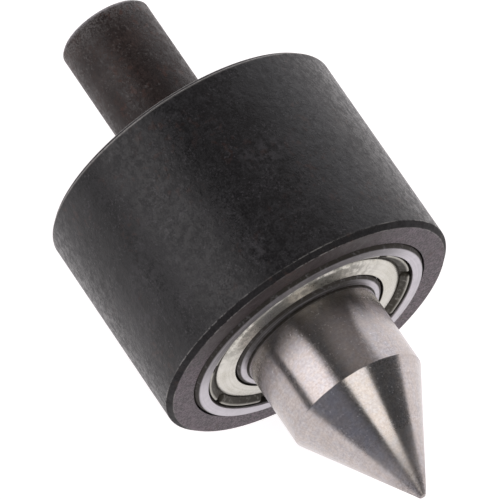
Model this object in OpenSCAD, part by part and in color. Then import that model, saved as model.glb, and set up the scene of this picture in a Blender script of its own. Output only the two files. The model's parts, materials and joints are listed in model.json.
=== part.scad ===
// Live center with a straight shank, for the tailstock of a small lathe.
// A ground 60 degree point turns in two shielded ball bearings inside a plain steel housing.
// The axis of rotation is X: the shank points to -X and the point to +X.
// The origin is on that axis, in the plane of the housing's rear face. Lengths are in millimetres.

/* [Housing] */
// Outside diameter of the housing
housing_d = 39; // [37:0.5:48]
// Length of the housing, from its rear face to its front face
housing_l = 27; // [27:0.5:45]
// Size of the 45 degree bevel round the front edge
front_bevel = 0.65; // [0.1:0.05:1.5]
// Size of the 45 degree bevel round the rear edge
rear_bevel = 0.5; // [0.1:0.05:1.5]

/* [Shank] */
// Diameter of the straight shank
shank_d = 12; // [6:0.5:16]
// Length of the shank behind the housing
shank_l = 20; // [12:1:80]
// Size of the bevel at the end of the shank
shank_bevel = 0.4; // [0.1:0.1:1.5]

/* [Point] */
// Included angle of the point, in degrees
point_angle = 60; // [45:5:90]
// Diameter of the nose, between the front bearing and the cone
nose_d = 17.5; // [16.2:0.1:18.6]
// Length of the straight part of the nose
nose_l = 10.4; // [2:0.2:30]
// Diameter of the small flat that blunts the tip
tip_flat_d = 0.9; // [0.2:0.1:2]

/* [Front bearing] */
// Bore of the front bearing
front_bore_d = 15; // [14.6:0.1:15.4]
// Outside diameter of the front bearing
front_outer_d = 32; // [31.6:0.1:32.4]
// Width of the front bearing
front_width = 9; // [8.5:0.5:9.5]
// Number of balls in the front bearing
front_ball_count = 9; // [6:1:9]
// How far the front bearing stands out of the housing
front_proud = 0.4; // [0.1:0.1:1]

/* [Rear bearing] */
// Bore of the rear bearing
rear_bore_d = 12; // [11.6:0.1:12.4]
// Outside diameter of the rear bearing
rear_outer_d = 28; // [27.6:0.1:28.4]
// Width of the rear bearing
rear_width = 8; // [8:0.5:9]
// Number of balls in the rear bearing
rear_ball_count = 8; // [6:1:8]

/* [Ball races] */
// Diameter of the balls in both bearings
ball_d = 4.76; // [4.3:0.02:4.8]
// Clearance between each ball and its races
race_play = 0.05; // [0.02:0.01:0.1]
// Thickness of the sheet metal of the cages and shields
sheet_t = 0.3; // [0.2:0.05:0.35]
// Number of tongues that crimp each shield into its ring
crimp_count = 9; // [4:1:16]
// Angle of each gap between two tongues, in degrees
crimp_gap = 3; // [2:1:12]

/* [Spindle fittings] */
// Length of the spacer sleeve between the two inner rings
spacer_l = 2.4; // [1:0.2:3]
// Outside diameter of the spacer sleeve
spacer_d = 16.8; // [16.4:0.1:17]
// Thickness of the retaining ring
clip_t = 1; // [0.8:0.1:1.2]
// Depth of the groove that holds the retaining ring
clip_groove_depth = 0.25; // [0.2:0.05:0.5]

/* [Hidden] */

$fn = 96;
// Facing directions along X, used for the parts that come in mirrored pairs
toward_point = 1;
toward_shank = -1;
// Cuts reach this far past the solid that they cut
past = 0.5;
// The shank steps down to a spigot that is pressed through the back wall of the housing
spigot_d = shank_d - 2;
// A shallow V groove round the root of the shank, so that the rear face seats flat on its holder
root_groove_w = 0.5;
root_groove_depth = 0.3;

// Places along X, worked out from the front of the housing backwards
front_face_x = housing_l + front_proud;
front_seat_x = front_face_x - front_width;
rear_front_x = front_seat_x - spacer_l;
rear_seat_x = rear_front_x - rear_width;
cone_x = front_face_x + nose_l;
cone_l = (nose_d - tip_flat_d) / 2 / tan(point_angle / 2);
tip_x = cone_x + cone_l;

// Space behind the rear bearing, for the retaining ring and the end of the spindle
relief_r = 12.4;
clip_side_play = 0.1;
spindle_tail_l = 2;
spindle_tail_bevel = 0.4;
spindle_end_gap = 1;
spindle_end_x = rear_seat_x - spindle_tail_l;
relief_floor_x = spindle_end_x - spindle_end_gap;
// The front journal stops short of its ring, so that the spacer bears on the ring
journal_set_back = 0.3;

// A bearing is [bore, outside diameter, width, number of balls, X of its middle]
front_bearing = [front_bore_d, front_outer_d, front_width, front_ball_count, front_face_x - front_width / 2];
rear_bearing = [rear_bore_d, rear_outer_d, rear_width, rear_ball_count, rear_front_x - rear_width / 2];
function bore_r(bearing) = bearing[0] / 2;
function outer_r(bearing) = bearing[1] / 2;
function half_width(bearing) = bearing[2] / 2;
function ball_count(bearing) = bearing[3];
function middle_x(bearing) = bearing[4];
function pitch_r(bearing) = (bore_r(bearing) + outer_r(bearing)) / 2;

// Raceways: each groove is a little rounder than the ball, and each land stands above the groove's floor
ball_r = ball_d / 2;
groove_r = 0.52 * ball_d;
land_h = 0.147 * ball_d;
function inner_race_r(bearing) = pitch_r(bearing) - ball_r - race_play;
function outer_race_r(bearing) = pitch_r(bearing) + ball_r + race_play;
function inner_land_r(bearing) = inner_race_r(bearing) + land_h;
function outer_land_r(bearing) = outer_race_r(bearing) - land_h;
outer_ring_corner = 0.5;
inner_ring_corner = 0.35;

// Cage: two pressed halves, each a flat ring with a domed pocket over every ball
pocket_play = 0.05;
cage_reach = 0.95;
rivet_d = 0.9;
rivet_head_d = 1.5;
rivet_head_h = 0.25;

// Shield: a dished plate whose flange sits in the outer ring, under a rolled rim cut into tongues.
// Depths are measured into the bearing from the face of its rings.
shield_land_gap = 0.25;
dish_top_depth = 0.35;
dish_shoulder_depth = 0.6;
flange_depth = 1;
dish_rim_inset = 1.35;
dish_shoulder_inset = 1.75;
// Each tongue is a rolled bead that starts just above the underside of the flange
crimp_r = 0.42;
crimp_lift = 0.02;
crimp_sink = crimp_r - sheet_t + crimp_lift;
crimp_inset = 0.62;
crimp_turn = 13;

// Retaining ring: its free end carries two lugs with plier holes
clip_back_w = 1.8;
clip_front_w = 1.1;
clip_lug_r = 1.5;
clip_lug_angle = 17;
clip_hole_d = 1.5;
clip_mouth_w = 1.6;

// Stands a child that was drawn round the Z axis on the X axis, with its base plane at x
module on_axis(x) {
    translate([x, 0, 0])
        rotate([0, 90, 0])
            children();
}

// Repeats a child at every ball, turned by a share of the spacing between balls
module at_each_ball(bearing, share = 0) {
    for (i = [0:ball_count(bearing) - 1])
        rotate([0, 0, (i + share) * 360 / ball_count(bearing)])
            translate([pitch_r(bearing), 0, 0])
                children();
}

// Section of a bearing ring: a rectangle with four rounded corners
module ring_section(r_in, r_out, half_w, corner) {
    translate([r_in + corner, -half_w])
        square([r_out - r_in - 2 * corner, 2 * half_w]);
    translate([r_in, corner - half_w])
        square([r_out - r_in, 2 * (half_w - corner)]);
    for (r = [r_in + corner, r_out - corner])
        for (z = [corner - half_w, half_w - corner])
            translate([r, z])
                circle(r = corner);
}

module outer_ring(bearing) {
    seat_depth = flange_depth + sheet_t;
    on_axis(middle_x(bearing))
        rotate_extrude()
            difference() {
                ring_section(outer_land_r(bearing), outer_r(bearing), half_width(bearing), outer_ring_corner);
                translate([outer_race_r(bearing) - groove_r, 0])
                    circle(r = groove_r);
                for (side = [0, 1])
                    mirror([0, side])
                        translate([outer_land_r(bearing) - past, half_width(bearing) - seat_depth])
                            square([land_h + past, seat_depth + past]);
            }
}

module inner_ring(bearing) {
    on_axis(middle_x(bearing))
        rotate_extrude()
            difference() {
                ring_section(bore_r(bearing), inner_land_r(bearing), half_width(bearing), inner_ring_corner);
                translate([inner_race_r(bearing) + groove_r, 0])
                    circle(r = groove_r);
            }
}

module ball_set(bearing) {
    on_axis(middle_x(bearing))
        at_each_ball(bearing)
            sphere(r = ball_r);
}

// Half of a ribbon cage, bulging over the balls on the side that it faces
module cage_half(bearing, side) {
    pocket_r = ball_r + pocket_play;
    dome_r = pocket_r + sheet_t;
    on_axis(middle_x(bearing))
        mirror([0, 0, (1 - side) / 2])
            difference() {
                intersection() {
                    union() {
                        cylinder(r = pitch_r(bearing) + cage_reach, h = sheet_t);
                        at_each_ball(bearing)
                            sphere(r = dome_r);
                    }
                    difference() {
                        cylinder(r = pitch_r(bearing) + cage_reach, h = dome_r + past);
                        translate([0, 0, -past])
                            cylinder(r = pitch_r(bearing) - cage_reach, h = dome_r + 3 * past);
                    }
                }
                at_each_ball(bearing)
                    sphere(r = pocket_r);
                at_each_ball(bearing, 0.5)
                    translate([0, 0, -past])
                        cylinder(d = rivet_d, h = sheet_t + 2 * past);
            }
}

module rivet_set(bearing) {
    on_axis(middle_x(bearing))
        at_each_ball(bearing, 0.5) {
            translate([0, 0, -sheet_t])
                cylinder(d = rivet_d, h = 2 * sheet_t);
            translate([0, 0, sheet_t])
                cylinder(d = rivet_head_d, h = rivet_head_h);
            translate([0, 0, -sheet_t - rivet_head_h])
                cylinder(d = rivet_head_d, h = rivet_head_h);
        }
}

module shield(bearing, side) {
    seat_r = outer_race_r(bearing);
    hole_r = inner_land_r(bearing) + shield_land_gap;
    rim_r = seat_r - dish_rim_inset;
    shoulder_r = seat_r - dish_shoulder_inset;
    face = half_width(bearing);
    pitch = 360 / crimp_count;
    on_axis(middle_x(bearing))
        mirror([0, 0, (1 - side) / 2])
            union() {
                rotate_extrude()
                    polygon([
                        [hole_r, face - dish_top_depth],
                        [shoulder_r, face - dish_shoulder_depth],
                        [rim_r, face - flange_depth],
                        [seat_r, face - flange_depth],
                        [seat_r, face - flange_depth - sheet_t],
                        [rim_r - sheet_t / 2, face - flange_depth - sheet_t],
                        [shoulder_r - sheet_t / 2, face - dish_shoulder_depth - sheet_t],
                        [hole_r, face - dish_top_depth - sheet_t]
                    ]);
                for (i = [0:crimp_count - 1])
                    rotate([0, 0, crimp_turn + i * pitch + crimp_gap / 2])
                        rotate_extrude(angle = pitch - crimp_gap)
                            translate([seat_r - crimp_inset, face - flange_depth + crimp_sink])
                                circle(r = crimp_r);
            }
}

module housing() {
    color("dimgray")
        on_axis(0)
            rotate_extrude()
                polygon([
                    [spigot_d / 2, 0],
                    [shank_d / 2, 0],
                    [(shank_d + root_groove_w) / 2, root_groove_depth],
                    [shank_d / 2 + root_groove_w, 0],
                    [housing_d / 2 - rear_bevel, 0],
                    [housing_d / 2, rear_bevel],
                    [housing_d / 2, housing_l - front_bevel],
                    [housing_d / 2 - front_bevel, housing_l],
                    [front_outer_d / 2, housing_l],
                    [front_outer_d / 2, front_seat_x],
                    [rear_outer_d / 2, front_seat_x],
                    [rear_outer_d / 2, rear_seat_x],
                    [relief_r, rear_seat_x],
                    [relief_r, relief_floor_x],
                    [spigot_d / 2, relief_floor_x]
                ]);
}

// The shank's shoulder bears on the rear face of the housing, and its spigot fills the hole there
module shank() {
    color("#4a4039")
        on_axis(-shank_l)
            rotate_extrude()
                polygon([
                    [0, 0],
                    [shank_d / 2 - shank_bevel, 0],
                    [shank_d / 2, shank_bevel],
                    [shank_d / 2, shank_l],
                    [spigot_d / 2, shank_l],
                    [spigot_d / 2, shank_l + relief_floor_x],
                    [0, shank_l + relief_floor_x]
                ]);
}

module spindle() {
    groove_front_x = rear_seat_x + clip_side_play;
    groove_rear_x = rear_seat_x - clip_t - clip_side_play;
    color("silver")
        on_axis(0)
            rotate_extrude()
                polygon([
                    [0, spindle_end_x],
                    [rear_bore_d / 2 - spindle_tail_bevel, spindle_end_x],
                    [rear_bore_d / 2, spindle_end_x + spindle_tail_bevel],
                    [rear_bore_d / 2, groove_rear_x],
                    [rear_bore_d / 2 - clip_groove_depth, groove_rear_x],
                    [rear_bore_d / 2 - clip_groove_depth, groove_front_x],
                    [rear_bore_d / 2, groove_front_x],
                    [rear_bore_d / 2, front_seat_x + journal_set_back],
                    [front_bore_d / 2, front_seat_x + journal_set_back],
                    [front_bore_d / 2, front_face_x],
                    [nose_d / 2, front_face_x],
                    [nose_d / 2, cone_x],
                    [tip_flat_d / 2, tip_x],
                    [0, tip_x]
                ]);
}

module inner_spacer() {
    color("lightsteelblue")
        on_axis(rear_front_x)
            difference() {
                cylinder(d = spacer_d, h = spacer_l);
                translate([0, 0, -past])
                    cylinder(d = rear_bore_d, h = spacer_l + 2 * past);
            }
}

// The band is widest at the back and narrows towards the lugs
module retaining_ring() {
    seat_r = rear_bore_d / 2 - clip_groove_depth;
    band_r = seat_r + (clip_back_w + clip_front_w) / 2;
    band_shift = (clip_back_w - clip_front_w) / 2;
    color("darkslategray")
        on_axis(rear_seat_x - clip_t)
            linear_extrude(height = clip_t)
                difference() {
                    union() {
                        translate([-band_shift, 0])
                            circle(r = band_r);
                        for (side = [-1, 1])
                            rotate(side * clip_lug_angle)
                                translate([seat_r + clip_lug_r, 0])
                                    circle(r = clip_lug_r);
                    }
                    circle(r = seat_r);
                    translate([0, -clip_mouth_w / 2])
                        square([2 * band_r, clip_mouth_w]);
                    for (side = [-1, 1])
                        rotate(side * clip_lug_angle)
                            translate([seat_r + clip_lug_r, 0])
                                circle(d = clip_hole_d);
                }
}

module front_outer_ring() {
    color("gainsboro")
        outer_ring(front_bearing);
}

module front_inner_ring() {
    color("gainsboro")
        inner_ring(front_bearing);
}

module front_balls() {
    color("white")
        ball_set(front_bearing);
}

module front_cage_outer() {
    color("tan")
        cage_half(front_bearing, toward_point);
}

module front_cage_inner() {
    color("tan")
        cage_half(front_bearing, toward_shank);
}

module front_cage_rivets() {
    color("peru")
        rivet_set(front_bearing);
}

module front_outer_shield() {
    color("beige")
        shield(front_bearing, toward_point);
}

module front_inner_shield() {
    color("beige")
        shield(front_bearing, toward_shank);
}

module rear_outer_ring() {
    color("gainsboro")
        outer_ring(rear_bearing);
}

module rear_inner_ring() {
    color("gainsboro")
        inner_ring(rear_bearing);
}

module rear_balls() {
    color("white")
        ball_set(rear_bearing);
}

module rear_cage_outer() {
    color("tan")
        cage_half(rear_bearing, toward_point);
}

module rear_cage_inner() {
    color("tan")
        cage_half(rear_bearing, toward_shank);
}

module rear_cage_rivets() {
    color("peru")
        rivet_set(rear_bearing);
}

module rear_outer_shield() {
    color("beige")
        shield(rear_bearing, toward_point);
}

module rear_inner_shield() {
    color("beige")
        shield(rear_bearing, toward_shank);
}

housing();
shank();
spindle();
inner_spacer();
retaining_ring();
front_outer_ring();
front_inner_ring();
front_balls();
front_cage_outer();
front_cage_inner();
front_cage_rivets();
front_outer_shield();
front_inner_shield();
rear_outer_ring();
rear_inner_ring();
rear_balls();
rear_cage_outer();
rear_cage_inner();
rear_cage_rivets();
rear_outer_shield();
rear_inner_shield();
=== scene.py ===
import json
import math

import bpy
from mathutils import Matrix, Vector, noise


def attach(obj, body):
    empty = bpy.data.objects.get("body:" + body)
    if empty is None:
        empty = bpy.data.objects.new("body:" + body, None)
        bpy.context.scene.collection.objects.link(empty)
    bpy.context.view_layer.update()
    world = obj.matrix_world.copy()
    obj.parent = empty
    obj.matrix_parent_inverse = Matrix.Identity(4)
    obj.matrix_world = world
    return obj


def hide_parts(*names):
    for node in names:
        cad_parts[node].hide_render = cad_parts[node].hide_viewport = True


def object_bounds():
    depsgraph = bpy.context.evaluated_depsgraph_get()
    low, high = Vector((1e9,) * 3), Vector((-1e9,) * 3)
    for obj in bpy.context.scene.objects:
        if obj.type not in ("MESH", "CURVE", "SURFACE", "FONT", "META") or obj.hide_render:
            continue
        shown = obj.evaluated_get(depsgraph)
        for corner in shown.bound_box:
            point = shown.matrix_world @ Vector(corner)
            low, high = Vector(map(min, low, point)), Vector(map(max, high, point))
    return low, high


# Live center with a straight shank, lying on a pale floor under soft studio light.
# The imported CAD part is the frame: +X is the axis of rotation, towards the point, and +Z is up.
# Lengths are in metres, and angles in degrees unless a name ends in _rad.

MM = 0.001

# Dried oil and painted shade: how much they shine, the roughness that they add, and the upper side, where
# dust settled most and painted shade darkens the front face and the inner ring
GRIME_GLOSS = 0.2
GRIME_ROUGHNESS = 0.25
UPPER_SIDE = (0.0, -0.2, 0.98)

# Wear: how far from an edge the black is worn off, how far the wear and painted highlight reach from a bright
# edge, and how far from its end the shank is rubbed
EDGE_WEAR = 0.13 * MM
BRIGHT_EDGE_WEAR_AND_HIGHLIGHT = 0.22 * MM
RUBBED_BAND = 4.0 * MM
RUBBED_RIM = 1.1 * MM

# How far the painted shade of a bevel reaches from its middle, as a share of the bevel
FRONT_BEVEL_REACH = 0.9
REAR_BEVEL_REACH = 0.75

# The point: its wear, measured back from the tip, the reach of the painted shade near its root, where it
# reflects the dark housing face, and the reach of the dried oil and painted shade in the corner at its root
TIP_WORN = 1.0 * MM
TIP_SCUFFED = 4.5 * MM
TIP_DULL = 9.0 * MM
ROOT_SHADE_REACH = 4.0 * MM
ROOT_GRIME_AND_SHADE = 0.5 * MM

# Chips at the tip of the point
CHIPPED_LENGTH = 1.2 * MM
CHIP_SIZE = 0.35 * MM
CHIP_DEPTH = 0.16 * MM
CHIP_SHORTENING = 0.6
MOST_SQUEEZE = 0.5
LEAST_TIP_R = 0.3 * MM

# Mesh density
TURN_STEPS = 256
ARC_STEPS = 5
LONGEST_STRETCH = 0.8 * MM
SUPPORT = 0.03 * MM

# Camera: it stands far off, so the picture has almost no perspective
CAMERA_AZIMUTH = 58.39
CAMERA_ELEVATION = 63.99
CAMERA_DISTANCE = 877.75 * MM
CAMERA_AIM = Vector((14.25, -0.41, -0.10)) * MM
SENSOR_WIDTH_MM = 36
LENS_MM = 532
CLIP_START = 0.05
CLIP_END = 20

# Stage: the room is dim, though the backdrop is pale where the camera sees it past the floor
FLOOR_R = 30
FLOOR_STEPS = 96
FLOOR_ROUGHNESS = 0.9
FLOOR_GLOW_NEAR = 0.88
FLOOR_GLOW_FAR = 1.05
FLOOR_GLOW_REACH = 60 * MM
ROOM_GLOW = 0.09
BACKDROP_SEEN = 1.05

# Hidden shapes inside the housing, which the frame's boxes don't give
SPIGOT_STEP = 1.0 * MM
ROOT_GROOVE_W = 0.5 * MM
ROOT_GROOVE_DEPTH = 0.3 * MM
RELIEF_STEP = 1.6 * MM
JOURNAL_SET_BACK = 0.3 * MM
CLIP_SIDE_PLAY = 0.1 * MM
BALL_D = 4.76 * MM
RACE_GROOVE_R = 0.52 * BALL_D
RACE_LAND_H = 0.147 * BALL_D
RACE_STEPS = 16

# Edges: bevels, corners and chamfers, and the radii that round what lies between them
FRONT_BEVEL = 0.65 * MM
REAR_BEVEL = 0.5 * MM
SHANK_BEVEL = 0.4 * MM
TAIL_BEVEL = 0.4 * MM
OUTER_RING_CORNER = 0.5 * MM
OUTER_RING_RELIEF = 1.1 * MM
OUTER_RING_DROP = 0.2 * MM
OUTER_RING_BLEND = 0.48 * MM
INNER_RING_CORNER = 0.35 * MM
INNER_RING_CHAMFER_W = 0.6 * MM
INNER_RING_CHAMFER_L = 0.48 * MM
ROUND_EDGE = 0.3 * MM
SOFT_EDGE = 0.12 * MM
CRISP_EDGE = 0.05 * MM

# Front shield: depths are measured from the front face of its bearing, insets from the rim of its seat
SHEET = 0.3 * MM
DISH_TOP_DEPTH = 0.35 * MM
DISH_SHOULDER_DEPTH = 0.6 * MM
FLANGE_DEPTH = 1.0 * MM
DISH_RIM_INSET = 1.35 * MM
DISH_SHOULDER_INSET = 1.75 * MM
TONGUE_COUNT = 9
TONGUE_GAP = 3
FIRST_GAP = 3
TONGUE_INSET = 0.67 * MM
TONGUE_HALF_W = 0.60 * MM
TONGUE_TOP_DEPTH = 0.28 * MM
TONGUE_ROOT_DEPTH = 1.1 * MM
TONGUE_SLOPE_FOOT_DEPTH = 0.86 * MM
TONGUE_RIDGE_INSET = 0.40 * MM
TONGUE_RIDGE_W = 0.20 * MM
TONGUE_END = 0.55 * MM
TONGUE_END_SIZE = 0.02
TONGUE_STEPS = 48


# ---------------------------------------------------------------- outlines

def corner(x, r, fillet=0.0):
    """A corner of an outline, at x along the axis and r from it, with the radius that rounds it."""
    return Vector((x, r)), fillet


def arc_corners(x, r, radius, start, end, steps):
    """Corners on an arc round (x, r), from the angle start to the angle end."""
    angles = [math.radians(start + (end - start) * k / steps) for k in range(steps + 1)]
    return [corner(x + radius * math.cos(a), r + radius * math.sin(a)) for a in angles]


def rounded(corners, closed):
    """The points of the outline through the corners, with each corner turned into an arc.
    A straight stretch is cut up, with a point close to each end, so that smooth shading stays flat on it."""
    count = len(corners)
    ends = () if closed else (0, count - 1)
    runs = []
    for i, (here, fillet) in enumerate(corners):
        if i in ends or fillet == 0:
            runs.append([here])
            continue
        back = (corners[i - 1][0] - here).normalized()
        ahead = (corners[(i + 1) % count][0] - here).normalized()
        half_angle_rad = math.acos(max(-1, min(1, back.dot(ahead)))) / 2
        reach = fillet / math.tan(half_angle_rad)
        centre = here + (back + ahead).normalized() * fillet / math.sin(half_angle_rad)
        first = here + back * reach - centre
        last = here + ahead * reach - centre
        sweep_rad = math.atan2(first.x * last.y - first.y * last.x, first.dot(last))
        steps = max(2, round(ARC_STEPS * abs(sweep_rad) / (math.pi / 4)))
        turns = [Matrix.Rotation(sweep_rad * k / steps, 2) for k in range(steps + 1)]
        runs.append([centre + turn @ first for turn in turns])
    points = []
    for i, run in enumerate(runs):
        points += run
        if not closed and i == count - 1:
            break
        start, end = run[-1], runs[(i + 1) % count][0]
        length = (end - start).length
        if length > 3 * SUPPORT:
            pieces = math.ceil(length / LONGEST_STRETCH)
            cuts = [SUPPORT] + [length * k / pieces for k in range(1, pieces)] + [length - SUPPORT]
            points += [start.lerp(end, cut / length) for cut in cuts]
    return points


# ---------------------------------------------------------------- meshes

def around(x, r, angle_rad):
    """The point at x along the axis and r from it, at an angle measured from +Y towards +Z."""
    return Vector((x, r * math.cos(angle_rad), r * math.sin(angle_rad)))


def lathe(corners, closed=True, roughen=None):
    """Vertices and faces of an outline turned round the X axis. Its outside is on the left of its direction.
    An open outline starts and ends on the axis. roughen moves each point, if given."""
    points = rounded(corners, closed)
    rings = points if closed else points[1:-1]
    vertices = []
    for point in rings:
        for k in range(TURN_STEPS):
            vertices.append(around(point.x, point.y, 2 * math.pi * k / TURN_STEPS))
    faces = []
    for i in range(len(rings) if closed else len(rings) - 1):
        a = i * TURN_STEPS
        b = (i + 1) % len(rings) * TURN_STEPS
        for k in range(TURN_STEPS):
            n = (k + 1) % TURN_STEPS
            faces.append((a + k, a + n, b + n, b + k))
    if not closed:
        for pole, ring in ((points[0], 0), (points[-1], len(rings) - 1)):
            middle = len(vertices)
            vertices.append(around(pole.x, 0, 0))
            for k in range(TURN_STEPS):
                a = ring * TURN_STEPS + k
                b = ring * TURN_STEPS + (k + 1) % TURN_STEPS
                faces.append((middle, b, a) if ring == 0 else (middle, a, b))
    if roughen:
        vertices = [roughen(v) for v in vertices]
    return vertices, faces


def sweep_closed_ends(section, stations):
    """Vertices and faces of a section carried through the stations, with a face that closes each end.
    section(station) gives its points in order round it."""
    loops = [section(s) for s in stations]
    sides = len(loops[0])
    vertices = [p for loop in loops for p in loop]
    faces = []
    for i in range(len(loops) - 1):
        for k in range(sides):
            n = (k + 1) % sides
            faces.append((i * sides + k, i * sides + n, (i + 1) * sides + n, (i + 1) * sides + k))
    last = (len(loops) - 1) * sides
    faces.append(tuple(reversed(range(sides))))
    faces.append(tuple(range(last, last + sides)))
    return vertices, faces


def new_piece(name, parts, material, body, nodes):
    """A piece made of mesh parts, which rides on a body and stands for CAD nodes."""
    vertices, faces = [], []
    for part_vertices, part_faces in parts:
        start = len(vertices)
        vertices += part_vertices
        faces += [tuple(start + i for i in face) for face in part_faces]
    mesh = bpy.data.meshes.new(name)
    mesh.from_pydata(vertices, [], faces)
    mesh.shade_smooth()
    mesh.materials.append(material)
    piece = bpy.data.objects.new(name, mesh)
    bpy.context.scene.collection.objects.link(piece)
    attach(piece, body)
    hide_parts(*nodes)


def span(node):
    """The extent of a CAD node round the X axis: its lowest and highest x, its inner and outer radius."""
    points = [v.co for v in frame["nodes"][node].data.vertices]
    radii = [math.hypot(p.y, p.z) for p in points]
    return min(p.x for p in points), max(p.x for p in points), min(radii), max(radii)


# ---------------------------------------------------------------- material helpers

class Look:
    """A node material on one Principled shader, with short calls to add and join nodes."""

    def __init__(self, name, **shader_values):
        self.material = bpy.data.materials.new(name)
        self.material.use_nodes = True
        self.tree = self.material.node_tree
        self.tree.nodes.clear()
        self.shader = self.add("BsdfPrincipled")
        output = self.add("OutputMaterial")
        self.tree.links.new(self.shader.outputs[0], output.inputs["Surface"])
        for key, value in shader_values.items():
            self.shader.inputs[key.replace("_", " ")].default_value = value
        self.place = self.add("TexCoord").outputs["Object"]
        parts = self.add("SeparateXYZ", self.place)
        self.x = parts.outputs["X"]
        flat = self.add("CombineXYZ", 0.0, parts.outputs["Y"], parts.outputs["Z"]).outputs[0]
        self.r = self.vector("LENGTH", flat)
        self.turn = self.vector("NORMALIZE", flat)
        self.section = self.add("CombineXYZ", self.x, self.r, 0.0).outputs[0]

    def add(self, kind, *inputs, **settings):
        node = self.tree.nodes.new("ShaderNode" + kind)
        for key, value in settings.items():
            setattr(node, key, value)
        for socket, value in zip(node.inputs, inputs):
            self.put(socket, value)
        return node

    def put(self, socket, value):
        if isinstance(value, bpy.types.NodeSocket):
            self.tree.links.new(value, socket)
        elif value is not None:
            socket.default_value = value

    def math(self, operation, *inputs):
        return self.add("Math", *inputs, operation=operation).outputs[0]

    def vector(self, operation, *inputs):
        node = self.add("VectorMath", *inputs, operation=operation)
        scalar = operation in ("LENGTH", "DISTANCE", "DOT_PRODUCT")
        return node.outputs["Value" if scalar else "Vector"]

    def noise(self, size, detail=2.0, roughness=0.5, shift=0.0):
        """Noise whose patches are about size across. shift moves it, so that no two noises line up."""
        place = self.vector("ADD", self.place, (shift, shift, shift))
        node = self.add("TexNoise", noise_dimensions="3D")
        self.put(node.inputs["Vector"], place)
        node.inputs["Scale"].default_value = 1 / size
        node.inputs["Detail"].default_value = detail
        node.inputs["Roughness"].default_value = roughness
        return node.outputs["Fac"]

    def patches(self, size, low, high, **settings):
        """Soft patches about size across: 0 where their noise is under low, and 1 where it is over high."""
        return self.remap(self.noise(size, **settings), low, high)

    def rings(self, width, streak_turns, detail=2.0, roughness=0.6):
        """Noise drawn out round the axis, as turning and grinding leave it: bands about width wide.
        A band holds about streak_turns streaks in a turn."""
        across = self.vector("SCALE", self.section, None)
        across.node.inputs["Scale"].default_value = 1 / width
        along = self.vector("SCALE", self.turn, None)
        along.node.inputs["Scale"].default_value = streak_turns / (2 * math.pi)
        parts = self.add("SeparateXYZ", across)
        lengthwise = self.add("CombineXYZ", parts.outputs["X"], 0.0, 0.0).outputs[0]
        spread = self.vector("ADD", lengthwise, along)
        node = self.add("TexNoise", noise_dimensions="4D")
        self.put(node.inputs["Vector"], spread)
        self.put(node.inputs["W"], parts.outputs["Y"])
        node.inputs["Scale"].default_value = 1.0
        node.inputs["Detail"].default_value = detail
        node.inputs["Roughness"].default_value = roughness
        return node.outputs["Fac"]

    def remap(self, value, low, high, to_low=0.0, to_high=1.0):
        """A value eased from to_low to to_high, as it goes from low to high."""
        node = self.add("MapRange", value, low, high, to_low, to_high, interpolation_type="SMOOTHSTEP")
        return node.outputs[0]

    def near(self, edges, reach):
        """1 on the circles through the (x, r) edges, falling to 0 at reach from them."""
        nearest = None
        for x, r in edges:
            gap = self.vector("DISTANCE", self.section, (x, r, 0.0))
            nearest = gap if nearest is None else self.math("MINIMUM", nearest, gap)
        return self.remap(nearest, 0.0, reach, 1.0, 0.0)

    def upper(self, low, high, to_low=0.0, to_high=1.0):
        """How near a place is to the upper side of the object, as seen along the axis."""
        nearness = self.vector("DOT_PRODUCT", self.turn, UPPER_SIDE)
        return self.remap(nearness, low, high, to_low, to_high)

    def blend(self, factor, first, second):
        node = self.add("Mix", data_type="RGBA")
        self.put(node.inputs[0], factor)
        self.put(node.inputs[6], first)
        self.put(node.inputs[7], second)
        return node.outputs[2]

    def cover(self, colour, mask, share, tint):
        """A colour with a tint laid over it where the mask is, at most by share."""
        return self.blend(self.math("MULTIPLY", mask, share), colour, tint)

    def bump(self, height, depth, before=None):
        node = self.add("Bump")
        node.inputs["Strength"].default_value = 1.0
        node.inputs["Distance"].default_value = depth
        self.put(node.inputs["Height"], height)
        if before:
            self.put(node.inputs["Normal"], before)
        return node.outputs[0]

    def finish(self, colour=None, roughness=None, metallic=None, normal=None):
        for name, value in (("Base Color", colour), ("Roughness", roughness),
                            ("Metallic", metallic), ("Normal", normal)):
            if value is not None:
                self.put(self.shader.inputs[name], value)
        return self.material


def rgb(red, green, blue):
    return red, green, blue, 1.0


# ---------------------------------------------------------------- colours

HOUSING_DARK = rgb(0.0075, 0.0068, 0.0078)
HOUSING_LIGHT = rgb(0.027, 0.0258, 0.0285)
HOUSING_PALE = rgb(0.078, 0.073, 0.081)
SHANK_DARK = rgb(0.014, 0.007, 0.006)
SHANK_LIGHT = rgb(0.054, 0.033, 0.028)
SHANK_PALE = rgb(0.130, 0.118, 0.115)
SHANK_RIM = rgb(0.24, 0.225, 0.24)
FACE_DARK = rgb(0.020, 0.010, 0.017)
FACE_LIGHT = rgb(0.185, 0.150, 0.172)
# Painted shade on the upper side of the front face
FACE_UPPER_SHADE = rgb(0.018, 0.011, 0.009)
# Painted shade on the bevels, where they reflect the shadowed floor, with lighter crumbs
BEVEL_SHADE_DARK = rgb(0.003, 0.002, 0.003)
BEVEL_SHADE_CRUMBS = rgb(0.020, 0.017, 0.019)
RUST = rgb(0.06, 0.024, 0.016)
# Bare worn steel, also used as a painted highlight along the bright edges
BARE_EDGE_AND_HIGHLIGHT = rgb(0.30, 0.29, 0.28)
# Dried oil, and painted shade in the gaps and corners between parts
OIL_AND_GAP_SHADE = rgb(0.027, 0.021, 0.013)

POINT_PINK_DARK = rgb(0.400, 0.358, 0.342)
POINT_PINK_LIGHT = rgb(0.545, 0.500, 0.482)
POINT_GREY_DARK = rgb(0.390, 0.362, 0.365)
POINT_GREY_LIGHT = rgb(0.525, 0.500, 0.505)
POINT_CLOUDS = rgb(0.440, 0.392, 0.366)
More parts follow.
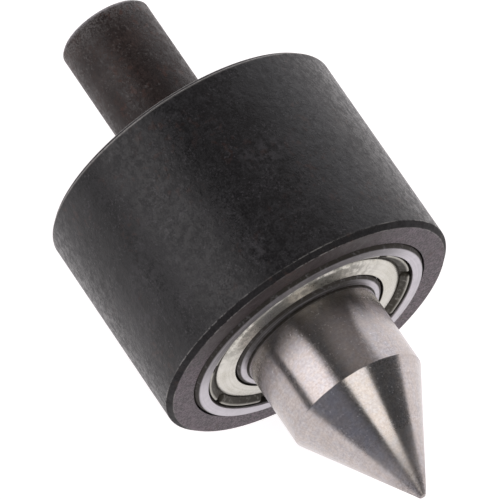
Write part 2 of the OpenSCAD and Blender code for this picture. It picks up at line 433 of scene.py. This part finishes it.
# Painted shade near the root of the point, where it reflects the dark housing face
POINT_ROOT_SHADE = rgb(0.20, 0.165, 0.145)
POINT_SCUFFS = rgb(0.17, 0.15, 0.15)
RING_DARK = rgb(0.405, 0.39, 0.42)
RING_LIGHT = rgb(0.535, 0.515, 0.55)
RING_SPECKS = rgb(0.2, 0.18, 0.15)
SHIELD_DARK = rgb(0.485, 0.475, 0.42)
SHIELD_LIGHT = rgb(0.65, 0.64, 0.595)
SHIELD_OIL = rgb(0.30, 0.27, 0.18)

FLOOR_DARK = rgb(0.38, 0.38, 0.38)
FLOOR_LIGHT = rgb(0.42, 0.42, 0.42)
FLOOR_GLOW = rgb(1.0, 0.96, 0.97)
BACKDROP = rgb(0.92, 0.96, 1.0)


# ---------------------------------------------------------------- materials
# A noise has the size of its patches in its call. The plain numbers round it belong to that one recipe: the
# limits between which it turns into a mask, the share by which it shows, or a roughness.

def oxide_colour(look, dark, light, pale, clouds, mottle, grain):
    """The colour of blackened steel: grainy and cloudy, with clusters of pale specks."""
    tone = look.math("MULTIPLY_ADD", clouds, 0.3, look.math("MULTIPLY", mottle, 0.25))
    tone = look.math("MULTIPLY_ADD", grain, 0.45, tone)
    shade = look.math("MULTIPLY", look.remap(tone, 0.42, 0.66), look.remap(clouds, 0.38, 0.6, 0.45, 1.0))
    specks = look.patches(0.32 * MM, 0.53, 0.68, detail=3.0, roughness=0.65, shift=0.57)
    clusters = look.patches(2.4 * MM, 0.42, 0.6, detail=3.0, shift=0.71)
    return look.cover(look.blend(shade, dark, light), look.math("MULTIPLY", specks, clusters), 0.55, pale)


def rub_end(look, colour, pale, end):
    """Rubs a flecked band lighter by handling, and its rim most of all, round the (x, r) of an end."""
    flecks = look.patches(0.22 * MM, 0.42, 0.58, detail=3.0, roughness=0.7, shift=0.91)
    band = look.math("MULTIPLY", look.near([end], RUBBED_BAND), flecks)
    colour = look.cover(colour, band, 0.9, pale)
    rim = look.math("MULTIPLY", look.remap(look.near([end], RUBBED_RIM), 0.2, 0.7),
                    look.remap(flecks, 0.0, 0.7, 0.35, 1.0))
    return look.cover(colour, rim, 0.8, SHANK_RIM)


def turn_face(look, colour, rough, face, mottle, grain):
    """Makes the front face at x = face speckled and rougher, with painted shade on its upper side, where it
    reflects the dark nose.
    """
    on_face = look.remap(look.x, face - CRISP_EDGE, face)
    tone = look.math("MULTIPLY_ADD", mottle, 0.3, look.math("MULTIPLY", grain, 0.7))
    speckle = look.blend(look.remap(tone, 0.42, 0.58), FACE_DARK, FACE_LIGHT)
    # Painted shade: the upper side of the face is darkened where it reflects the dark nose
    speckle = look.blend(look.upper(0.45, 0.9, to_high=0.85), speckle, FACE_UPPER_SHADE)
    return look.blend(on_face, colour, speckle), look.math("MULTIPLY_ADD", on_face, 0.16, rough)


def shade_bevel(look, colour, rough, bevel, grain):
    """Paints shade on a bevel, where it reflects the shadowed floor, and makes it rough, with lighter crumbs.
    It is the (x, r) of its middle, with its reach.
    """
    x, r, reach = bevel
    on_bevel = look.remap(look.near([(x, r)], reach), 0.1, 0.3)
    bevel_shade = look.blend(look.remap(grain, 0.45, 0.62), BEVEL_SHADE_DARK, BEVEL_SHADE_CRUMBS)
    return look.cover(colour, on_bevel, 0.8, bevel_shade), look.math("MULTIPLY_ADD", on_bevel, 0.35, rough)


def smudge_and_rust(look, colour, pale, rust, mottle):
    """Lays a few pale smudges over a colour, and stains of rust by the share rust."""
    smudges = look.math("MULTIPLY", look.patches(8 * MM, 0.56, 0.72, shift=0.23),
                        look.remap(mottle, 0.42, 0.62))
    colour = look.cover(colour, smudges, 0.35, pale)
    stains = look.math("MULTIPLY", look.patches(6 * MM, 0.5, 0.65, detail=3.0, shift=0.61),
                       look.patches(0.8 * MM, 0.54, 0.66, detail=3.0, shift=0.31))
    return look.cover(colour, stains, rust, RUST)


def bare_and_highlit_edges(look, edges, highlit_worn_edges):
    """Where the black is worn off in spots along the edges, and where the bright edges are lighter nearly
    everywhere: worn there, with a painted highlight.
    """
    spots = look.patches(0.7 * MM, 0.40, 0.54, detail=4.0, roughness=0.7, shift=0.77)
    stretches = look.remap(look.noise(5 * MM, shift=0.13), 0.4, 0.6, 0.3, 1.0)
    bare_and_highlight = look.math("MULTIPLY", look.near(edges, EDGE_WEAR), look.math("MULTIPLY", spots, stretches))
    # Wear and a painted highlight nearly all along the bright edges
    if highlit_worn_edges:
        worn_and_highlight = look.math("MULTIPLY", look.near(highlit_worn_edges, BRIGHT_EDGE_WEAR_AND_HIGHLIGHT), 0.9)
        bare_and_highlight = look.math("MAXIMUM", bare_and_highlight, worn_and_highlight)
    return bare_and_highlight


def black_oxide(name, dark, light, pale, rust, gloss, edges,
                highlit_worn_edges=(), bevels=(), face=None, rubbed=None):
    """Blackened turned steel, a little worn and stained. gloss holds its least and its most roughness.
    The edges are (x, r) circles; the bright ones are worn and carry a painted highlight. Each bevel is the
    (x, r) of its middle with its reach, and gets painted shade. face is the x of a turned front face, with
    painted shade on its upper side, and rubbed the (x, r) of an end."""
    look = Look(name, IOR=1.42)
    clouds = look.noise(5.5 * MM, detail=4.0, roughness=0.62)
    mottle = look.noise(0.9 * MM, detail=3.0, roughness=0.6, shift=0.4)
    grain = look.noise(0.26 * MM, roughness=0.7, shift=0.9)
    colour = oxide_colour(look, dark, light, pale, clouds, mottle, grain)
    rough = look.remap(look.math("ADD", mottle, grain), 0.84, 1.16, *gloss)
    if rubbed:
        colour = rub_end(look, colour, pale, rubbed)
    if face:
        colour, rough = turn_face(look, colour, rough, face, mottle, grain)
    # Painted shade on each bevel
    for bevel in bevels:
        colour, rough = shade_bevel(look, colour, rough, bevel, grain)
    colour = smudge_and_rust(look, colour, pale, rust, mottle)
    bare_and_highlight = bare_and_highlit_edges(look, edges, highlit_worn_edges)
    colour = look.cover(colour, bare_and_highlight, 0.8, BARE_EDGE_AND_HIGHLIGHT)
    uneven = look.bump(look.noise(1.1 * MM, detail=4.0, roughness=0.62, shift=0.27), 0.07 * MM)
    turned = look.math("MULTIPLY_ADD", look.rings(0.22 * MM, 3), 0.4, grain)
    normal = look.bump(turned, 0.011 * MM, uneven)
    return look.finish(colour, rough, look.math("MULTIPLY", bare_and_highlight, 0.8), normal)


def grime_and_shade(look, colour, gaps, amount, settled_dirt_and_shade=0.0):
    """Mixes dried oil and painted shade into a colour: darker round the gaps, as oil and as the shade that
    falls in them, and where the settled share lies. A gap is an (x, r) with its reach.
    Gives the colour, the share that still is bare metal, and the share of oil and shade."""
    dirt_and_shade = None
    for x, r, reach in gaps:
        here = look.near([(x, r)], reach)
        dirt_and_shade = here if dirt_and_shade is None else look.math("MAXIMUM", dirt_and_shade, here)
    dirt_and_shade = look.math("MAXIMUM", look.remap(dirt_and_shade, 0.15, 0.55), settled_dirt_and_shade)
    patchy = look.remap(look.noise(0.6 * MM, detail=4.0, roughness=0.65, shift=0.19), 0.25, 0.5, 0.7, 1.0)
    dirt_and_shade = look.math("MULTIPLY", dirt_and_shade, look.math("MULTIPLY", patchy, amount))
    return look.blend(dirt_and_shade, colour, OIL_AND_GAP_SHADE), look.math("SUBTRACT", 1.0, dirt_and_shade), dirt_and_shade


def ground_steel(name, tip_x, root):
    """Hardened steel ground round its axis: fine rings draw its reflections out along the axis.
    root is the (x, r) where it meets the bearing: near it is painted shade, where the point reflects the dark
    housing face, and in the corner there dried oil and painted shade. Its tip is scuffed and dull."""
    look = Look(name, Anisotropic=0.75, Anisotropic_Rotation=0.25, Specular_IOR_Level=GRIME_GLOSS)
    tangent = look.add("Tangent", direction_type="RADIAL", axis="X")
    look.put(look.shader.inputs["Tangent"], tangent.outputs[0])
    fine = look.rings(0.07 * MM, 12)
    broad = look.rings(0.7 * MM, 4, detail=3.0)
    clouds = look.noise(3.0 * MM, detail=4.0, roughness=0.6)
    mottle = look.noise(0.30 * MM, roughness=0.6, shift=0.52)
    tone = look.math("MULTIPLY_ADD", mottle, 0.5, look.math("MULTIPLY", broad, 0.2))
    tone = look.math("MULTIPLY_ADD", fine, 0.3, tone)
    shade = look.remap(tone, 0.36, 0.64)
    pink = look.blend(shade, POINT_PINK_DARK, POINT_PINK_LIGHT)
    grey = look.blend(shade, POINT_GREY_DARK, POINT_GREY_LIGHT)
    tint = look.patches(0.9 * MM, 0.42, 0.6, detail=3.0, roughness=0.6, shift=0.83)
    colour = look.blend(look.remap(clouds, 0.45, 0.75, 0.0, 0.5), look.blend(tint, pink, grey), POINT_CLOUDS)
    # Painted shade near the root, standing in for the dark housing face that the point reflects there
    root_shade = look.math("MULTIPLY", look.near([root], ROOT_SHADE_REACH), look.remap(clouds, 0.3, 0.6, 0.7, 1.0))
    colour = look.cover(colour, root_shade, 0.22, POINT_ROOT_SHADE)
    scuffs = look.patches(0.24 * MM, 0.44, 0.6, detail=3.0, roughness=0.7, shift=0.45)
    worn = look.remap(look.x, tip_x - TIP_SCUFFED, tip_x - TIP_WORN, 0.0, 0.7)
    colour = look.cover(colour, scuffs, worn, POINT_SCUFFS)
    # Dried oil and painted shade in the corner at the root
    colour, metal, dirt_and_shade = grime_and_shade(look, colour, [(*root, ROOT_GRIME_AND_SHADE)], 0.85)
    near_tip = look.remap(look.x, tip_x - TIP_DULL, tip_x - TIP_WORN)
    rough = look.math("ADD", look.remap(tone, 0.3, 0.7, 0.21, 0.28), look.math("MULTIPLY", near_tip, 0.27))
    rough = look.math("MULTIPLY_ADD", dirt_and_shade, GRIME_ROUGHNESS, rough)
    waves = look.bump(mottle, 0.0008 * MM)
    return look.finish(colour, rough, metal, look.bump(fine, 0.0002 * MM, waves))


def bearing_steel(name, gaps, inner_r):
    """Ground and lightly oiled bearing steel, satin and faintly lilac, with dried oil and painted shade in
    the gaps round the rings.
    Its upper side is darker, most of all on the inner ring, which ends at inner_r: settled dust, and painted
    shade where the nose shades it."""
    look = Look(name, Specular_IOR_Level=GRIME_GLOSS)
    fine = look.rings(0.09 * MM, 6)
    clouds = look.noise(1.6 * MM, detail=5.0, roughness=0.68)
    tone = look.math("MULTIPLY_ADD", fine, 0.4, look.math("MULTIPLY", clouds, 0.6))
    colour = look.blend(look.remap(tone, 0.35, 0.65), RING_DARK, RING_LIGHT)
    colour = look.cover(colour, look.patches(0.5 * MM, 0.66, 0.76, detail=3.0, shift=0.5), 0.5, RING_SPECKS)
    inner = look.remap(look.r, inner_r, inner_r + 0.4 * MM, 0.95, 0.7)
    streaks = look.remap(look.rings(0.25 * MM, 6, detail=3.0), 0.3, 0.6, 0.7, 1.0)
    # Darker upper side, most of all on the inner ring: settled dust, and painted shade where the nose shades
    # it; dried oil and painted shade in the gaps round the rings
    settled_dirt_and_shade = look.math("MULTIPLY", look.math("MULTIPLY", look.upper(0.15, 0.8), inner), streaks)
    colour, metal, dirt_and_shade = grime_and_shade(look, colour, gaps, 0.95, settled_dirt_and_shade)
    rough = look.math("MULTIPLY_ADD", dirt_and_shade, GRIME_ROUGHNESS, look.remap(clouds, 0.35, 0.65, 0.31, 0.41))
    height = look.math("ADD", fine, look.math("MULTIPLY", clouds, 0.6))
    return look.finish(colour, rough, metal, look.bump(height, 0.0015 * MM))


def shield_steel(name, gaps):
    """Pressed steel sheet with a soft, creamy plating. A little dried oil lies on its upper side."""
    look = Look(name, Specular_IOR_Level=GRIME_GLOSS)
    clouds = look.noise(2.6 * MM, detail=4.0, roughness=0.6)
    pressed = look.rings(0.35 * MM, 5, detail=3.0)
    grain = look.noise(0.12 * MM, detail=1.0, shift=0.7)
    tone = look.math("MULTIPLY_ADD", clouds, 0.5, look.math("MULTIPLY", pressed, 0.5))
    colour = look.blend(look.remap(tone, 0.34, 0.66), SHIELD_DARK, SHIELD_LIGHT)
    colour = look.cover(colour, look.patches(1.3 * MM, 0.58, 0.74, detail=4.0, shift=0.37), 0.3, SHIELD_OIL)
    smears = look.patches(0.8 * MM, 0.42, 0.6, detail=4.0, roughness=0.65, shift=0.88)
    settled_dirt_and_shade = look.math("MULTIPLY", look.upper(0.2, 0.9, to_high=0.45), smears)
    # Dried oil and painted shade in the gaps round the tongues and the plate, and dried oil on the upper side
    colour, metal, dirt_and_shade = grime_and_shade(look, colour, gaps, 0.95, settled_dirt_and_shade)
    satin = look.remap(look.math("ADD", clouds, grain), 0.8, 1.2, 0.26, 0.4)
    rough = look.math("MULTIPLY_ADD", dirt_and_shade, GRIME_ROUGHNESS, satin)
    height = look.math("ADD", grain, look.math("MULTIPLY", pressed, 0.7))
    return look.finish(colour, rough, metal, look.bump(height, 0.003 * MM))


def plain_steel(name, dark, light, smooth, rough):
    """Steel of the hidden pieces, with fine turning or rolling marks and a thin film of oil.
    smooth and rough are its least and its most roughness."""
    look = Look(name, Metallic=1.0)
    fine = look.rings(0.12 * MM, 5)
    clouds = look.noise(1.8 * MM, detail=4.0, roughness=0.6)
    tone = look.math("MULTIPLY_ADD", fine, 0.4, look.math("MULTIPLY", clouds, 0.6))
    colour = look.blend(look.remap(tone, 0.35, 0.65), dark, light)
    spread = look.remap(clouds, 0.35, 0.65, smooth, rough)
    normal = look.bump(look.math("ADD", fine, clouds), 0.002 * MM)
    return look.finish(colour, spread, None, normal)


# ---------------------------------------------------------------- pieces

def build_housing(material):
    rear, front, _, outer = span("housing")
    _, _, _, shank_r = span("shank")
    front_seat, _, _, front_bore = span("front_outer_ring")
    rear_seat, _, _, rear_bore = span("rear_outer_ring")
    spigot_r = shank_r - SPIGOT_STEP
    relief_r = rear_bore - RELIEF_STEP
    floor = max(v.co.x for v in frame["nodes"]["shank"].data.vertices)
    groove_r = shank_r + ROOT_GROOVE_W
    outline = [
        corner(rear, spigot_r),
        corner(rear, shank_r),
        corner(rear + ROOT_GROOVE_DEPTH, (shank_r + groove_r) / 2),
        corner(rear, groove_r, CRISP_EDGE),
        corner(rear, outer - REAR_BEVEL, CRISP_EDGE),
        corner(rear + REAR_BEVEL, outer, CRISP_EDGE),
        corner(front - FRONT_BEVEL, outer, SOFT_EDGE),
        corner(front, outer - FRONT_BEVEL, SOFT_EDGE),
        corner(front, front_bore, CRISP_EDGE),
        corner(front_seat, front_bore),
        corner(front_seat, rear_bore),
        corner(rear_seat, rear_bore),
        corner(rear_seat, relief_r),
        corner(floor, relief_r, SOFT_EDGE),
        corner(floor, spigot_r),
    ]
    new_piece("housing_shell", [lathe(outline)], material, "housing", ["housing"])


def build_shank(material):
    rear, front, _, outer = span("shank")
    face, _, _, _ = span("housing")
    spigot_r = outer - SPIGOT_STEP
    outline = [
        corner(rear, 0),
        corner(rear, outer - SHANK_BEVEL, ROUND_EDGE),
        corner(rear + SHANK_BEVEL, outer, ROUND_EDGE),
        corner(face, outer),
        corner(face, spigot_r),
        corner(front, spigot_r),
        corner(front, 0),
    ]
    shape = lathe(outline, closed=False)
    new_piece("shank_pin", [shape], material, "housing", ["shank"])


def build_spindle(material):
    rear, tip, _, nose_r = span("spindle")
    ring_rear, ring_front, front_journal, _ = span("front_inner_ring")
    _, _, rear_journal, _ = span("rear_inner_ring")
    clip_rear, clip_front, groove_r, _ = span("retaining_ring")
    points = [v.co for v in frame["nodes"]["spindle"].data.vertices]
    cone_base = max(p.x for p in points if math.hypot(p.y, p.z) > nose_r - SUPPORT)
    tip_r = max(math.hypot(p.y, p.z) for p in points if p.x > tip - SUPPORT)
    shoulder = ring_rear + JOURNAL_SET_BACK
    outline = [
        corner(rear, 0),
        corner(rear, rear_journal - TAIL_BEVEL),
        corner(rear + TAIL_BEVEL, rear_journal),
        corner(clip_rear - CLIP_SIDE_PLAY, rear_journal),
        corner(clip_rear - CLIP_SIDE_PLAY, groove_r),
        corner(clip_front + CLIP_SIDE_PLAY, groove_r),
        corner(clip_front + CLIP_SIDE_PLAY, rear_journal),
        corner(shoulder, rear_journal),
        corner(shoulder, front_journal),
        corner(ring_front, front_journal),
        corner(ring_front, nose_r, SOFT_EDGE),
        corner(cone_base, nose_r, SOFT_EDGE),
        corner(tip, tip_r, SOFT_EDGE),
        corner(tip, 0),
    ]

    def chip(point):
        """Small chips on the last millimetre of the point."""
        share = (point.x - tip + CHIPPED_LENGTH) / CHIPPED_LENGTH
        if share <= 0:
            return point
        depth = max(0.0, noise.noise(point / CHIP_SIZE)) * share * CHIP_DEPTH
        r = max(math.hypot(point.y, point.z), LEAST_TIP_R)
        squeeze = 1 - min(MOST_SQUEEZE, depth / r)
        return Vector((point.x - CHIP_SHORTENING * depth, point.y * squeeze, point.z * squeeze))

    shape = lathe(outline, closed=False, roughen=chip)
    new_piece("center_point", [shape], material, "spindle", ["spindle"])


def race_corners(x, r, radius, land_r):
    """The ball groove of a ring, with its arc round (x, r). It runs the way the outline of its ring does:
    from front to rear on an outer ring, and from rear to front on an inner ring."""
    half = math.degrees(math.acos(abs(land_r - r) / radius))
    side = 90 if land_r > r else -90
    return arc_corners(x, r, radius, side - half, side + half, RACE_STEPS)


def build_front_outer_ring(material):
    rear, front, land_r, outer = span("front_outer_ring")
    _, _, _, seat_r = span("front_outer_shield")
    middle = (rear + front) / 2
    seat_depth = FLANGE_DEPTH + SHEET
    race_r = land_r + RACE_LAND_H
    groove = race_corners(middle, race_r - RACE_GROOVE_R, RACE_GROOVE_R, land_r)
    outline = [
        corner(rear, outer, OUTER_RING_CORNER),
        corner(front - OUTER_RING_RELIEF, outer, SOFT_EDGE),
        corner(front - OUTER_RING_CORNER, outer - OUTER_RING_DROP, OUTER_RING_BLEND),
        corner(front, outer - OUTER_RING_CORNER, SOFT_EDGE),
        corner(front, seat_r, SOFT_EDGE),
        corner(front - seat_depth, seat_r),
        corner(front - seat_depth, land_r),
        *groove,
        corner(rear + seat_depth, land_r),
        corner(rear + seat_depth, seat_r),
        corner(rear, seat_r, SOFT_EDGE),
    ]
    shape = lathe(outline)
    new_piece("front_ring_outer", [shape], material, "housing", ["front_outer_ring"])


def build_front_inner_ring(material):
    rear, front, bore, land_r = span("front_inner_ring")
    middle = (rear + front) / 2
    race_r = land_r - RACE_LAND_H
    groove = race_corners(middle, race_r + RACE_GROOVE_R, RACE_GROOVE_R, land_r)
    outline = [
        corner(rear, bore, INNER_RING_CORNER),
        corner(rear, land_r, INNER_RING_CORNER),
        *groove,
        corner(front - INNER_RING_CHAMFER_L, land_r, SOFT_EDGE),
        corner(front, land_r - INNER_RING_CHAMFER_W, SOFT_EDGE),
        corner(front, bore, INNER_RING_CORNER),
    ]
    shape = lathe(outline)
    new_piece("front_ring_inner", [shape], material, "spindle", ["front_inner_ring"])


def tongue(front, seat_r, middle):
    """One crimped tongue: a long ramp up from the plate to a rounded ridge, then steep down to the ring.
    Its ends are round, and middle is the angle at the middle of its length."""
    centre_r = seat_r - TONGUE_INSET
    half_turn = (360 / TONGUE_COUNT - TONGUE_GAP) / 2
    half_length = math.radians(half_turn) * centre_r
    root = front - TONGUE_ROOT_DEPTH
    ridge_r = seat_r - TONGUE_RIDGE_INSET
    outline = [
        corner(root, centre_r + TONGUE_HALF_W),
        corner(root, centre_r - TONGUE_HALF_W),
        corner(front - TONGUE_SLOPE_FOOT_DEPTH, centre_r - TONGUE_HALF_W, CRISP_EDGE),
        corner(front - TONGUE_TOP_DEPTH, ridge_r - TONGUE_RIDGE_W / 2, SOFT_EDGE),
        corner(front - TONGUE_TOP_DEPTH, ridge_r + TONGUE_RIDGE_W / 2, SOFT_EDGE),
        corner(front - TONGUE_SLOPE_FOOT_DEPTH, centre_r + TONGUE_HALF_W, SOFT_EDGE),
    ]
    points = rounded(outline, closed=True)

    def section(along):
        """The outline at a distance along the tongue. Near the ends it draws in to the middle of its foot."""
        inset = min(1.0, (half_length - abs(along)) / TONGUE_END)
        size = max(TONGUE_END_SIZE, math.sqrt(1 - (1 - inset) ** 2))
        angle_rad = math.radians(middle) + along / centre_r
        drawn_in = [(root + (p.x - root) * size, centre_r + (p.y - centre_r) * size) for p in points]
        return [around(x, r, angle_rad) for x, r in drawn_in]

    spread = [math.sin(math.pi / 2 * (2 * k / TONGUE_STEPS - 1)) for k in range(TONGUE_STEPS + 1)]
    return sweep_closed_ends(section, [half_length * s for s in spread])


def build_front_shield(material):
    _, front, _, _ = span("front_outer_ring")
    _, _, hole_r, seat_r = span("front_outer_shield")
    rim_r = seat_r - DISH_RIM_INSET
    shoulder_r = seat_r - DISH_SHOULDER_INSET
    outline = [
        corner(front - DISH_SHOULDER_DEPTH - SHEET, shoulder_r - SHEET / 2),
        corner(front - FLANGE_DEPTH - SHEET, rim_r - SHEET / 2),
        corner(front - FLANGE_DEPTH - SHEET, seat_r),
        corner(front - FLANGE_DEPTH, seat_r),
        corner(front - FLANGE_DEPTH, rim_r, SHEET / 2),
        corner(front - DISH_SHOULDER_DEPTH, shoulder_r, 3 * SHEET),
        corner(front - DISH_TOP_DEPTH, hole_r, 2 * CRISP_EDGE),
        corner(front - DISH_TOP_DEPTH - SHEET, hole_r, CRISP_EDGE),
    ]
    pitch = 360 / TONGUE_COUNT
    tongues = [tongue(front, seat_r, FIRST_GAP + (i + 0.5) * pitch) for i in range(TONGUE_COUNT)]
    plate = lathe(outline)
    parts = [plate, *tongues]
    new_piece("front_shield", parts, material, "housing", ["front_outer_shield"])


# ---------------------------------------------------------------- stage

def look_at(thing, target):
    thing.rotation_mode = "QUATERNION"
    thing.rotation_quaternion = (target - thing.location).to_track_quat("-Z", "Y")


def build_camera():
    data = bpy.data.cameras.new("camera")
    data.sensor_width = SENSOR_WIDTH_MM
    data.lens = LENS_MM
    data.clip_start = CLIP_START
    data.clip_end = CLIP_END
    camera = bpy.data.objects.new("camera", data)
    bpy.context.scene.collection.objects.link(camera)
    azimuth, elevation = math.radians(CAMERA_AZIMUTH), math.radians(CAMERA_ELEVATION)
    back = Vector((math.sin(azimuth) * math.cos(elevation),
                   -math.cos(azimuth) * math.cos(elevation), math.sin(elevation)))
    camera.location = CAMERA_AIM + back * CAMERA_DISTANCE
    look_at(camera, CAMERA_AIM)
    bpy.context.scene.camera = camera


def softbox(name, direction, distance, width, height, radiance, colour):
    """A soft light in that direction from the object, facing it. radiance is how bright its face looks."""
    data = bpy.data.lights.new(name, "AREA")
    data.shape = "RECTANGLE"
    data.size = width
    data.size_y = height
    data.energy = radiance * math.pi * width * height
    data.color = colour
    lamp = bpy.data.objects.new(name, data)
    bpy.context.scene.collection.objects.link(lamp)
    lamp.location = Vector(direction).normalized() * distance
    look_at(lamp, CAMERA_AIM)
    lamp.visible_camera = False


def build_floor(level):
    """A plain pale floor that glows, a little more behind the object, and reaches to the horizon."""
    turns = [2 * math.pi * k / FLOOR_STEPS for k in range(FLOOR_STEPS)]
    rim = [(FLOOR_R * math.cos(turn), FLOOR_R * math.sin(turn), level) for turn in turns]
    mesh = bpy.data.meshes.new("floor")
    mesh.from_pydata(rim, [], [tuple(range(FLOOR_STEPS))])
    look = Look("floor_paper", Roughness=FLOOR_ROUGHNESS, Emission_Color=FLOOR_GLOW)
    across = look.add("SeparateXYZ", look.place).outputs["Y"]
    glow = look.remap(across, -FLOOR_GLOW_REACH, FLOOR_GLOW_REACH, FLOOR_GLOW_NEAR, FLOOR_GLOW_FAR)
    look.put(look.shader.inputs["Emission Strength"], glow)
    tone = look.blend(look.patches(2 * MM, 0.3, 0.7, detail=3.0), FLOOR_DARK, FLOOR_LIGHT)
    mesh.materials.append(look.finish(tone))
    floor = bpy.data.objects.new("floor", mesh)
    bpy.context.scene.collection.objects.link(floor)


def build_light():
    softbox("key_front", (0.6, 0.10, 0.79), distance=0.6, width=0.34, height=0.34,
            radiance=2.1, colour=(1.0, 0.97, 0.92))
    softbox("key_side", (-0.37, -0.71, 0.59), distance=0.6, width=0.435, height=0.50,
            radiance=2.0, colour=(1.0, 0.96, 0.97))
    softbox("glow_behind", (-0.78, 0.62, 0.27), distance=1.2, width=2.0, height=0.95,
            radiance=1.28, colour=(0.98, 0.965, 1.0))
    softbox("glow_above", (-0.45, 0.40, 0.80), distance=1.1, width=1.1, height=0.9,
            radiance=0.25, colour=(1.0, 0.90, 0.88))
    softbox("fill_side", (0.55, -0.72, 0.42), distance=0.8, width=0.8, height=0.6,
            radiance=0.2, colour=(0.74, 0.78, 1.0))


def build_backdrop():
    """A room that gives little light, though it is pale where the camera sees it."""
    world = bpy.data.worlds.new("studio")
    world.use_nodes = True
    nodes, links = world.node_tree.nodes, world.node_tree.links
    backdrop = nodes["Background"]
    backdrop.inputs["Color"].default_value = BACKDROP
    seen = nodes.new("ShaderNodeMath")
    seen.operation = "MULTIPLY_ADD"
    links.new(nodes.new("ShaderNodeLightPath").outputs["Is Camera Ray"], seen.inputs[0])
    seen.inputs[1].default_value = BACKDROP_SEEN - ROOM_GLOW
    seen.inputs[2].default_value = ROOM_GLOW
    links.new(seen.outputs[0], backdrop.inputs["Strength"])
    bpy.context.scene.world = world
    bpy.context.scene.view_settings.view_transform = "Standard"


# ---------------------------------------------------------------- scene

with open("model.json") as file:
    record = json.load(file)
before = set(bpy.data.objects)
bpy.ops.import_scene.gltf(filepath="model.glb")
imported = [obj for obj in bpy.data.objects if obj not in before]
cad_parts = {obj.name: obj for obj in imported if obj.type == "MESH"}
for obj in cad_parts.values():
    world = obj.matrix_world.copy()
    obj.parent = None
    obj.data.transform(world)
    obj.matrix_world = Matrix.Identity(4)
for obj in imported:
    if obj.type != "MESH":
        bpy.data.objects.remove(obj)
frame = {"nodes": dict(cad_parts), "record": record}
cad_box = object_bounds()

housing_rear, housing_front, _, housing_r = span("housing")
shank_rear, _, _, shank_r = span("shank")
front_edges = [
    (housing_front - FRONT_BEVEL, housing_r),
    (housing_front, housing_r - FRONT_BEVEL),
]
rear_edges = [
    (housing_rear + REAR_BEVEL, housing_r),
    (housing_rear, housing_r - REAR_BEVEL),
]
shank_edges = [
    (shank_rear + SHANK_BEVEL, shank_r),
    (shank_rear, shank_r - SHANK_BEVEL),
]
housing_bevels = [
    (housing_front - FRONT_BEVEL / 2, housing_r - FRONT_BEVEL / 2, FRONT_BEVEL_REACH * FRONT_BEVEL),
    (housing_rear + REAR_BEVEL / 2, housing_r - REAR_BEVEL / 2, REAR_BEVEL_REACH * REAR_BEVEL),
]
_, tip_x, _, nose_r = span("spindle")
_, ring_front, _, ring_r = span("front_outer_ring")
_, _, _, inner_land_r = span("front_inner_ring")
_, _, shield_hole_r, shield_seat_r = span("front_outer_shield")
flange_x = ring_front - FLANGE_DEPTH

# Gaps darkened with dried oil and painted shade: each is the (x, r) of its middle, with the reach of its
# darkening
ring_gaps = [
    (ring_front - 0.35 * MM, ring_r, 1.0 * MM),
    (ring_front - 0.7 * MM, shield_seat_r, 0.75 * MM),
    (ring_front - 0.5 * MM, inner_land_r, 0.8 * MM),
    (ring_front, nose_r, 0.35 * MM),
]
shield_gaps = [
    (flange_x, shield_seat_r, 0.5 * MM),
    (flange_x, shield_seat_r - TONGUE_INSET, 1.2 * MM),
    (flange_x, shield_seat_r - DISH_RIM_INSET, 0.45 * MM),
    (ring_front - DISH_TOP_DEPTH - SHEET, shield_hole_r, 0.4 * MM),
]

# One material for each slot of the record
looks = {
    "black_oxide_housing": black_oxide(
        "black_oxide_housing", HOUSING_DARK, HOUSING_LIGHT, HOUSING_PALE, rust=0.35, gloss=(0.29, 0.51),
        edges=front_edges, highlit_worn_edges=rear_edges, bevels=housing_bevels, face=housing_front),
    "black_oxide_shank": black_oxide(
        "black_oxide_shank", SHANK_DARK, SHANK_LIGHT, SHANK_PALE, rust=0.8, gloss=(0.37, 0.60),
        edges=shank_edges, rubbed=(shank_rear, shank_r)),
    "ground_steel": ground_steel("ground_steel", tip_x, (ring_front, nose_r)),
    "turned_steel": plain_steel("turned_steel", rgb(0.42, 0.42, 0.42), rgb(0.56, 0.56, 0.56), 0.25, 0.4),
    "spring_steel": plain_steel("spring_steel", rgb(0.09, 0.09, 0.10), rgb(0.16, 0.15, 0.15), 0.35, 0.5),
    "bearing_steel": bearing_steel("bearing_steel", ring_gaps, inner_land_r),
    "ball_steel": plain_steel("ball_steel", rgb(0.70, 0.70, 0.71), rgb(0.78, 0.78, 0.79), 0.05, 0.1),
    "cage_steel": plain_steel("cage_steel", rgb(0.46, 0.42, 0.36), rgb(0.60, 0.56, 0.50), 0.3, 0.45),
    "rivet_steel": plain_steel("rivet_steel", rgb(0.44, 0.44, 0.44), rgb(0.56, 0.56, 0.57), 0.25, 0.4),
    "shield_steel": shield_steel("shield_steel", shield_gaps),
}
for sub_part in frame["record"]["subparts"]:
    cad_object = frame["nodes"][sub_part["node"]]
    cad_object.data.materials.clear()
    cad_object.data.materials.append(looks[sub_part["material_slot"]])

build_housing(looks["black_oxide_housing"])
build_shank(looks["black_oxide_shank"])
build_spindle(looks["ground_steel"])
build_front_outer_ring(looks["bearing_steel"])
build_front_inner_ring(looks["bearing_steel"])
build_front_shield(looks["shield_steel"])

build_floor(cad_box[0].z)
build_light()
build_backdrop()
build_camera()
